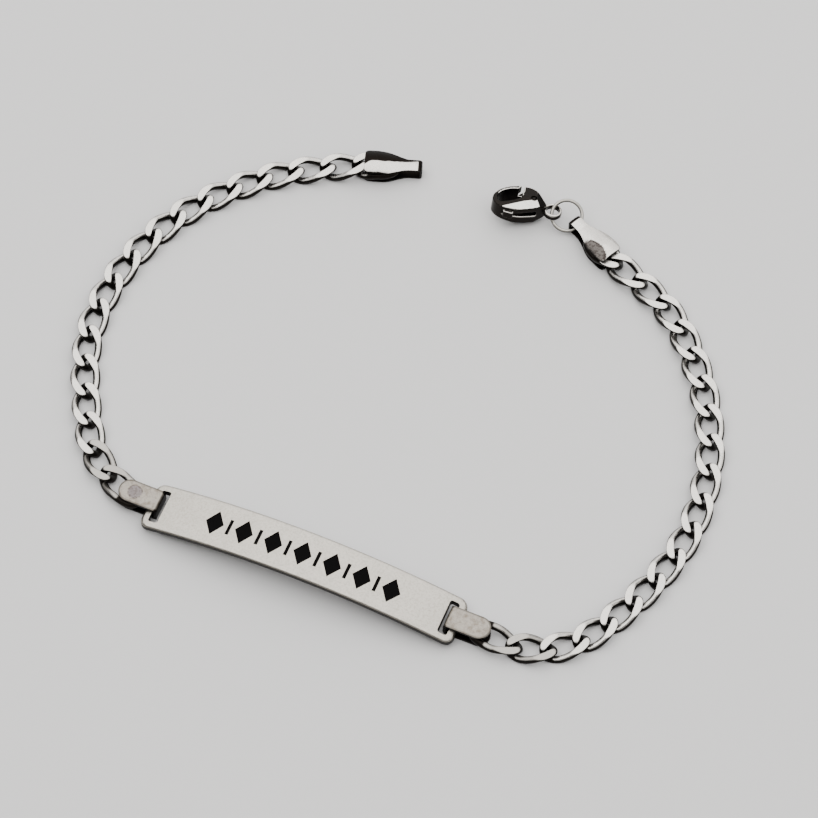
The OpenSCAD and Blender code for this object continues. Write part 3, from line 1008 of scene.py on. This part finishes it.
def link_places(context, joints, strap_at, mouth, turn, spots):
    """Middle, direction and kind of each link, as in the solid model."""
    chain = sizes(context, "chain")
    strap = sizes(context, "straps")
    pitch = chain.pitch * MM
    link = chain.link * MM
    filed = chain.filed * MM
    count = len(joints) - 1

    # The crossings rise towards the strap and the cap.
    rises = {0: 0.1, count - 1: 0.16, count: 0.37}

    def height(k):
        return filed + rises.get(k, 0.03)

    points = [Vector((p.x, p.y, height(k))) for k, p in enumerate(joints)]
    far = points[0]
    seat = Vector((strap_at[0], strap_at[1], strap.sheet * MM + strap.gap * MM / 2 + 0.02))
    direction = (far - seat).normalized()
    half = chain.end_link * MM / 2 - (link - pitch) / 2
    places = [(far - half * direction, direction, 0)]
    for p, q in zip(points, points[1:]):
        places.append(((p + q) / 2, (q - p).normalized(), 1))
    post_at = mouth + spots["cap_post"] * ahead(turn)
    seat = Vector((post_at.x, post_at.y, sizes(context, "caps").sheet * MM + LINK_PLAY + filed))
    direction = (seat - points[-1]).normalized()
    places.append((points[-1] + direction * pitch / 2, direction, 2))
    return places


def build_chain(context, name, places, tree, metal):
    """Runs the chain's tree on one point for each link and keeps the result as a mesh."""
    chain = sizes(context, "chain")
    mesh = bpy.data.meshes.new(name)
    mesh.from_pydata([tuple(p[0]) for p in places], [], [])
    for label, form in (("facing", "FLOAT_VECTOR"), ("kind", "INT"), ("dull", "FLOAT")):
        mesh.attributes.new(label, form, "POINT")
    facing, kind, dull = (mesh.attributes[label] for label in ("facing", "kind", "dull"))
    for i, (_, direction, which) in enumerate(places):
        flat = math.hypot(direction.x, direction.y)
        facing.data[i].vector = (0, -math.atan2(direction.z, flat),
                                 math.atan2(direction.y, direction.x))
        kind.data[i].value = which
        dull.data[i].value = DULL_LINKS[i] if i < len(DULL_LINKS) else 0.0
    piece = new_object(name, mesh)
    nodes = piece.modifiers.new("Chain", "NODES")
    nodes.node_group = tree
    values = {
        "Wire": chain.wire * MM, "Width": chain.width * MM, "Length": chain.link * MM,
        "End Length": chain.end_link * MM, "Twist": chain.twist,
        "Filed Height": chain.filed * MM, "Rings": chain.rings, "Sides": chain.sides,
        "Metal": metal,
    }
    for item in tree.interface.items_tree:
        if item.item_type == "SOCKET" and item.in_out == "INPUT" and item.name in values:
            nodes[item.identifier] = values[item.name]
    piece = baked(piece)
    mesh = piece.data
    local = [Vector(item.vector) for item in mesh.attributes["local"].data]
    kinds = [item.value for item in mesh.attributes["kind"].data]
    shine_by_corner(mesh, lambda at, place, normal: link_wear_and_painted_light(chain, local[at], normal, kinds[at]))
    return piece


def link_wear_and_painted_light(chain, place, normal, kind):
    """Filed flats are bright, ridges that face up are a painted highlight and the sides painted shade,
    the ends at the crossings are darkened as painted shade with oxidised steel, and the ends in a
    strap or cap are painted shadow.
    """
    # Painted highlight on ridges that face up, painted shade on the sides; filed flats are bright.
    shine = ramp(normal.z, 0.5, 0.95)
    if shine > 0.1 and abs(place.z) > chain.filed * MM - 0.001:
        shine = 1.0
    half = ((chain.end_link if kind == 0 else chain.link) - chain.wire) * MM / 2
    # Painted shade, with oxidised steel, at each end below mid-height, where the links cross.
    dark = ramp(abs(place.x) / half, 0.6, 0.75) * (1 - ramp(place.z, 0.2, 0.5))
    # Painted shadow on the end under the strap, and painted shade on the end inside the cap.
    if kind == 0:
        dark = max(dark, ramp(-place.x, 0.5, 1.2))
    if kind == 2:
        dark = max(dark, ramp(place.x, -1.3, -0.8))
    return shine * (1 - 0.85 * dark)


def link_metal(finish):
    """Bright filed facets and painted highlights over dark wire, which is painted shade with oxidised
    hollows, dull near the straps.
    """
    f = Finish("Filed steel links")
    shine = f.attribute("shine")
    dull = f.attribute("dull")
    broad = f.noise(0.5, 3.0, 0.6)
    grain = f.noise(4.5, 3.0, 0.65)
    fine = f.noise(12.0, 2.0, 0.6)
    painted_lit_and_worn = f.step(shine + (grain - 0.5) * 0.3, 0.3, 0.75)
    light = f.mix(f.step(grain, 0.5, 0.8) * 0.35, colour(finish.bright), colour(finish.bright, 0.6))
    light = f.mix(f.step(broad, 0.4, 0.7) * 0.12, light, colour(finish.bright, 0.7))
    light = f.mix(dull * 0.75, light, colour(finish.straps, 0.5))
    # Painted shade on the wire's sides, and oxidised steel in its hollows.
    brown = f.mix(grain, colour(finish.dark), colour((0.022, 0.018, 0.015)))
    base = f.mix(painted_lit_and_worn, brown, light)
    gloss = 0.28 + (grain - 0.5) * 0.15 + (1 - painted_lit_and_worn) * 0.15 + dull * 0.12
    skin = f.bump(fine + grain * 1.5, 0.015, 0.4)
    return f.surface(Base_Color=base, Metallic=1.0, Roughness=gloss, Normal=skin)


class BRACELET_OT_chains(bpy.types.Operator):
    """Two curb chains of filed links"""

    bl_idname = "bracelet.chains"
    bl_label = "Chains"

    def execute(self, context):
        finish = sizes(context, "finish")
        plate = sizes(context, "plate")
        strap = sizes(context, "straps")
        spots = layout(context)
        reach = plate.length * MM / 2 + strap.reach * MM - SEAT_INSET
        metal = link_metal(finish)
        tree = chain_tree(link_tree())
        left = link_places(context, spots["left"], (STRAP_LEFT[0] - reach, STRAP_LEFT[1]),
                           spots["cap_left"], CAP_LEFT_TURN, spots)
        right = link_places(context, spots["right"], (reach - STRAP_RIGHT[0], STRAP_RIGHT[1]),
                            spots["cap_right"], CAP_RIGHT_TURN, spots)
        for side, places in (("left", left), ("right", right)):
            nodes = [f"link_{side}_{k + 1:02d}" for k in range(len(places))]
            piece = build_chain(context, f"chain_{side}", places, tree, metal)
            settle(piece, (metal,), "bracelet", nodes)
        return {"FINISHED"}


# End caps


def build_cap(context, name, post_at):
    """Cap with its mouth at X = 0 and its fold at the far end."""
    cap = sizes(context, "caps")
    sheet = cap.sheet * MM
    total = cap.length * MM
    wide = cap.mouth * MM / 2
    narrow = cap.neck * MM / 2
    high = cap.height * MM
    low = cap.neck_height * MM
    crown = cap.crown * MM

    def flare(x):
        s = ramp(x, 2.2, 5.6)
        corner = 1 - math.sqrt(1 - max(1 - x / 0.5, 0.0) ** 2)
        return wide * (1 - s) + narrow * s - 0.12 * max(1 - x / 1.2, 0.0) ** 2 - 0.4 * corner

    def top_at(x):
        return high + (low - high) * min(max((x - 1.6) / 3.6, 0.0), 1.0)

    # The fold is drawn with X counted back from it, and turned round below.
    depth = total - sheet / 2
    path = fold_path(depth, 0.0, low - sheet, FOLD_RADIUS - sheet / 2, 0.1)

    def half_width(x):
        return flare(max(depth - x, 0.0))

    def lift(x, y, z):
        at = depth - x
        if z < (low - sheet) * 0.5:
            return 0.0
        share = min(z / (low - sheet), 1.0)
        arch = crown - math.sqrt(crown * crown - y * y)
        return share * max(top_at(at) - low - arch, top_at(at) - low - 0.6)

    bm = ribbon(path, half_width, 20, lift)
    bmesh.ops.recalc_face_normals(bm, faces=bm.faces)
    piece = from_bmesh(name, bm)
    piece = thickened(piece, sheet, cap.bevel * MM)
    piece.data.transform(Matrix.Translation((total - sheet / 2, 0, sheet / 2)) @ spin("Z", 180))
    add_post(piece, post_at, sheet - 0.05, top_at(post_at) - sheet + 0.03)
    return smoothed(piece)


def cap_painted_light(place, normal, band):
    """The crown is bright as painted light: over the top of the right cap, and on the left cap as a
    painted reflection band that stops short of its far side; its sides, fold and hollow are darkened
    as painted shade.
    """
    upper = ramp(place.z, 1.5, 1.8) * (1 - ramp(place.x, 6.45, 6.7))
    if not band:
        return upper * ramp(normal.z, 0.7, 0.8)
    # Edge of the painted reflection band, towards the left cap's far side.
    far = 0.68 * (max(place.x, 0.0) / 6.4) ** 1.5 - 0.2 - 0.45 * (1 - ramp(place.x, 0.0, 0.8))
    return upper * ramp(normal.z, 0.82, 0.88) * (1 - ramp(place.y, far - 0.05, far + 0.07))


def dark_oval(f, light):
    """Dark oval on the right cap, with a darker streaky rim."""
    return blot(f, light, centre=(1.8, 1.2), reach=(1.75, 0.95), inner=(0.05, 0.042, 0.038),
                rim=(0.016, 0.011, 0.01), strength=0.92)


class BRACELET_OT_caps(bpy.types.Operator):
    """Folded and crowned caps at the chains' ends"""

    bl_idname = "bracelet.caps"
    bl_label = "End caps"

    def execute(self, context):
        finish = sizes(context, "finish")
        spots = layout(context)
        for side, turn in (("left", CAP_LEFT_TURN), ("right", CAP_RIGHT_TURN)):
            piece = build_cap(context, "cap_" + side, spots["cap_post"])
            # Only the left cap has the painted reflection band; the right cap has the dark oval.
            band = side == "left"
            shine_by_normal(piece.data, lambda place, normal: cap_painted_light(place, normal, band))
            keep_places(piece.data)
            metal = steel(f"Worn steel {side} cap", finish.bright, finish.dark, 0.28, 0.25,
                          marks=None if band else dark_oval)
            mouth = spots["cap_" + side]
            where = Matrix.Translation((mouth.x, mouth.y, 0)) @ spin("Z", turn)
            settle(piece, (metal,), "bracelet", ["end_cap_" + side], where)
        return {"FINISHED"}


# Jump ring and clasp


class BRACELET_OT_ring(bpy.types.Operator):
    """Jump ring between the right cap and the clasp"""

    bl_idname = "bracelet.ring"
    bl_label = "Jump ring"

    def execute(self, context):
        clasp = sizes(context, "clasp")
        finish = sizes(context, "finish")
        spots = layout(context)
        radius = clasp.ring_radius * MM
        wire = clasp.ring_wire * MM / 2
        bm = bmesh.new()
        turns, sides = 128, 24
        rings = []
        for i in range(turns):
            angle = 2 * math.pi * i / turns
            # The ends of the wire meet at a seam that is pressed in a little.
            pinch = 1 - 0.16 * math.exp(-((i - 74) / 0.8) ** 2)
            ring = []
            for k in range(sides):
                around = 2 * math.pi * k / sides
                out = radius + wire * pinch * math.cos(around)
                ring.append(bm.verts.new((out * math.cos(angle), out * math.sin(angle),
                                          wire * pinch * math.sin(around))))
            rings.append(ring + ring[:1])
        for one, two in zip(rings, rings[1:] + rings[:1]):
            strip(bm, one, two)
        piece = from_bmesh("jump_ring_wire", bm)
        piece.data.shade_smooth()
        where = Matrix.Translation(spots["ring"]) @ spin("Z", RING_TURN) @ spin("X", RING_TILT)
        turned = where.to_3x3()
        # Painted light: the wire is bright where it faces up, and painted shade where it faces
        # sideways and down.
        shine_by_normal(piece.data, lambda place, normal: ramp((turned @ normal).z, 0.0, 0.6))
        metal = steel("Satin steel ring", finish.ring, finish.dark, 0.3)
        settle(piece, (metal,), "bracelet", ["jump_ring"], where)
        return {"FINISHED"}


def clasp_matrix(context):
    """Place of the clasp, with its eye at the origin and its hook towards -X."""
    at = layout(context)["clasp"]
    return (Matrix.Translation(at) @ spin("Z", CLASP_TURN)
            @ spin("Y", CLASP_PITCH) @ spin("X", CLASP_ROLL))


def cast_copy(context, node, name, share, rounds):
    """Copies a solid in millimetres in the clasp's own frame, with its edges melted round."""
    cell = sizes(context, "clasp").grain * MM * share
    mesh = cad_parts[node].data.copy()
    mesh.materials.clear()
    mesh.transform(Matrix.Translation(CENTRE) @ Matrix.Scale(MM, 4))
    mesh.transform(clasp_matrix(context).inverted())
    with editing(mesh) as bm:
        bmesh.ops.remove_doubles(bm, verts=bm.verts, dist=MERGE)
    piece = new_object(name, mesh)
    modifier(piece, "REMESH", mode="VOXEL", voxel_size=cell, adaptivity=0.0)
    modifier(piece, "CORRECTIVE_SMOOTH", factor=0.5, iterations=rounds, use_only_smooth=True,
             smooth_type="LENGTH_WEIGHTED")
    piece = baked(piece)
    piece.data.shade_smooth()
    return piece


class BRACELET_OT_clasp(bpy.types.Operator):
    """Cast body of the lobster clasp with its eye"""

    bl_idname = "bracelet.clasp"
    bl_label = "Clasp body"

    def execute(self, context):
        finish = sizes(context, "finish")
        piece = cast_copy(context, "clasp_body", "clasp_cast", 1.0, 6)
        where = clasp_matrix(context)
        slope = Vector((0.0, -0.242, 0.970))

        def facet(place, normal):
            """The polished facet, which ends in a point and is bright by its polish and as a painted
            highlight, and a painted highlight on the near half of the eye.
            """
            rise = place.x + 3.7
            edge = -0.33 + (0.37 if rise > 0 else 0.5) * rise
            # Painted highlight on the near half of the eye, where it faces up.
            eye = (ramp(place.x, -1.0, -0.7) * ramp(normal.z, 0.4, 0.75)
                   * (1 - ramp(place.y, 0.1, 0.4)))
            return max(eye, ramp(edge - place.y, 0.0, 0.1) * ramp(normal.dot(slope), 0.965, 0.99)
                       * ramp(-place.x, 1.2, 1.5))

        casting_wear_and_highlight(piece.data, where.to_3x3(), facet, 0.0008, 0.003, HINGE)
        metal = steel("Dark cast steel", finish.bright, finish.clasp, 0.2, 0.15)
        settle(piece, (metal,), "bracelet", ["clasp_body"], where)
        return {"FINISHED"}


class BRACELET_OT_lever(bpy.types.Operator):
    """Sprung lever of the clasp with its thumb nub"""

    bl_idname = "bracelet.lever"
    bl_label = "Clasp lever"

    def execute(self, context):
        finish = sizes(context, "finish")
        piece = cast_copy(context, "clasp_lever", "lever_cast", 0.75, 5)
        where = clasp_matrix(context)
        casting_wear_and_highlight(piece.data, where.to_3x3(), lambda place, normal: 0.0, 0.001, 0.003)
        metal = steel("Dark steel lever", finish.bright, finish.clasp, 0.2, 0.15)
        settle(piece, (metal,), "lever", ["clasp_lever"], where)
        return {"FINISHED"}


class BRACELET_OT_pin(bpy.types.Operator):
    """Rivet that the lever turns on, with domed ends"""

    bl_idname = "bracelet.pin"
    bl_label = "Hinge pin"

    def execute(self, context):
        clasp = sizes(context, "clasp")
        finish = sizes(context, "finish")
        radius = clasp.pin * MM / 2
        half = clasp.height * MM / 2 - PIN_INSET
        profile = [(radius * 0.35, -half), (radius * 0.75, -half + 0.03), (radius, -half + 0.1),
                   (radius, half - 0.1), (radius * 0.75, half - 0.03), (radius * 0.35, half)]
        bm = bmesh.new()
        turned_shape(bm, profile, 32)
        piece = from_bmesh("hinge_rivet", bm)
        piece.data.shade_smooth()
        shine_by_normal(piece.data, lambda place, normal: 0.0)
        where = clasp_matrix(context) @ Matrix.Translation((*HINGE, 0))
        metal = steel("Dark steel rivet", finish.bright, finish.clasp, 0.25)
        settle(piece, (metal,), "bracelet", ["lever_pin"], where)
        return {"FINISHED"}


# Stage


class BRACELET_OT_stage(bpy.types.Operator):
    """Pale floor, soft light and the camera"""

    bl_idname = "bracelet.stage"
    bl_label = "Stage"

    def execute(self, context):
        finish = sizes(context, "finish")
        target = (Vector(TARGET) - CENTRE) / MM
        toward = ahead(CAMERA_AZIMUTH).to_3d()

        f = Finish("Pale floor")
        grain = f.noise(0.6, 4.0, 0.6)
        base = f.mix(grain * 0.08, colour(finish.floor), colour(finish.floor, 0.8))
        material = f.surface(Base_Color=base, Roughness=0.85)
        bm = bmesh.new()
        bm.faces.new([bm.verts.new((x * FLOOR_HALF, y * FLOOR_HALF, -FLOOR_DROP))
                      for x, y in ((-1, -1), (1, -1), (1, 1), (-1, 1))])
        floor = from_bmesh("floor", bm)
        floor.data.materials.append(material)

        camera_data = bpy.data.cameras.new("camera")
        camera_data.sensor_width = 36.0
        camera_data.lens = CAMERA_LENS
        camera_data.clip_start = 0.01
        context.scene.camera = aimed("camera", camera_data, target, toward, CAMERA_ELEVATION,
                                     CAMERA_DISTANCE / MM)

        # Each light's name, target, side, elevation, distance, width, depth and power.
        left = Vector((toward.y, -toward.x, 0.0))
        for panel in (("key", target + left * 0.2, -toward, 84, 0.75, 1.25, 1.05, 14.0),
                      ("back", target, -toward, 28, 1.1, 1.7, 0.9, 11.0),
                      ("side", target, -left, 40, 1.0, 1.2, 0.7, 6.0),
                      ("fill", target, toward, 30, 1.2, 1.6, 0.8, 1.6)):
            add_panel(*panel)

        world = bpy.data.worlds.new("studio")
        world.use_nodes = True
        background = world.node_tree.nodes["Background"]
        background.inputs["Color"].default_value = (0.9, 0.93, 1.0, 1.0)
        background.inputs["Strength"].default_value = 0.07
        context.scene.world = world
        return {"FINISHED"}


def aimed(name, data, target, side, elevation, distance):
    """A camera or light that looks at the target from the given side, elevation and distance."""
    angle = math.radians(elevation)
    away = side * math.cos(angle) + Vector((0, 0, math.sin(angle)))
    placed = new_object(name, data)
    placed.location = target + away * distance
    placed.rotation_euler = (-away).to_track_quat("-Z", "Y").to_euler()
    return placed


def add_panel(name, target, side, elevation, distance, width, depth, power):
    """A flat light of the given width, depth and power."""
    data = bpy.data.lights.new(name, "AREA")
    data.shape = "RECTANGLE"
    data.size = width
    data.size_y = depth
    data.energy = power
    aimed(name, data, target, side, elevation, distance)


# Panel and registration


OPERATORS = [BRACELET_OT_stage, BRACELET_OT_plate, BRACELET_OT_straps, BRACELET_OT_chains,
             BRACELET_OT_caps, BRACELET_OT_ring, BRACELET_OT_clasp, BRACELET_OT_lever,
             BRACELET_OT_pin]


class BRACELET_PT_panel(bpy.types.Panel):
    """Sizes, colours and pieces of the bracelet"""

    bl_label = "Identity Bracelet"
    bl_idname = "BRACELET_PT_panel"
    bl_space_type = "VIEW_3D"
    bl_region_type = "UI"
    bl_category = "Bracelet"

    def draw(self, context):
        for group, kind in GROUPS.items():
            box = self.layout.box()
            box.label(text=group.title())
            for name in kind.__annotations__:
                box.prop(sizes(context, group), name)
        for operator in OPERATORS:
            self.layout.operator(operator.bl_idname)


def register():
    for group, kind in GROUPS.items():
        bpy.utils.register_class(kind)
        setattr(bpy.types.Scene, "bracelet_" + group, bpy.props.PointerProperty(type=kind))
    for operator in OPERATORS:
        bpy.utils.register_class(operator)
    bpy.utils.register_class(BRACELET_PT_panel)


def unregister():
    bpy.utils.unregister_class(BRACELET_PT_panel)
    for operator in reversed(OPERATORS):
        bpy.utils.unregister_class(operator)
    for group, kind in GROUPS.items():
        delattr(bpy.types.Scene, "bracelet_" + group)
        bpy.utils.unregister_class(kind)


def main():
    register()
    bpy.ops.bracelet.stage()
    bpy.ops.bracelet.plate()
    bpy.ops.bracelet.straps()
    bpy.ops.bracelet.chains()
    bpy.ops.bracelet.caps()
    bpy.ops.bracelet.ring()
    bpy.ops.bracelet.clasp()
    bpy.ops.bracelet.lever()
    bpy.ops.bracelet.pin()


if __name__ == "__main__":
    main()
